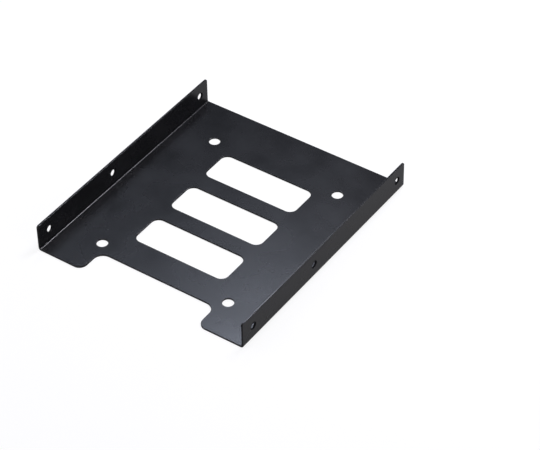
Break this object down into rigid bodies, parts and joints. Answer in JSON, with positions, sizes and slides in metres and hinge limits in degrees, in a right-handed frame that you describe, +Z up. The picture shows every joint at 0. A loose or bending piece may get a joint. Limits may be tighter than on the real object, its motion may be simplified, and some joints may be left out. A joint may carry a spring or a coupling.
{
  "type": "drive bay adapter bracket",
  "caption": "Shallow folded sheet steel channel with slots, a notched front edge and screw holes, which carries a 2.5 inch drive in a 3.5 inch bay.",
  "frame": {"origin": "centre of the underside of the plate, midway between the flanges and between the front and back edges", "axes": "+Y from the recessed front edge to the back edge, +X towards the right flange, +Z up from the plate along the flanges"},
  "size_m": [0.0998, 0.1138, 0.0126],
  "materials": {
    "powder_coat": "satin black powder coat"
  },
  "bodies": {
    "root": {"bracket": "powder_coat"}
  },
  "joints": []
}
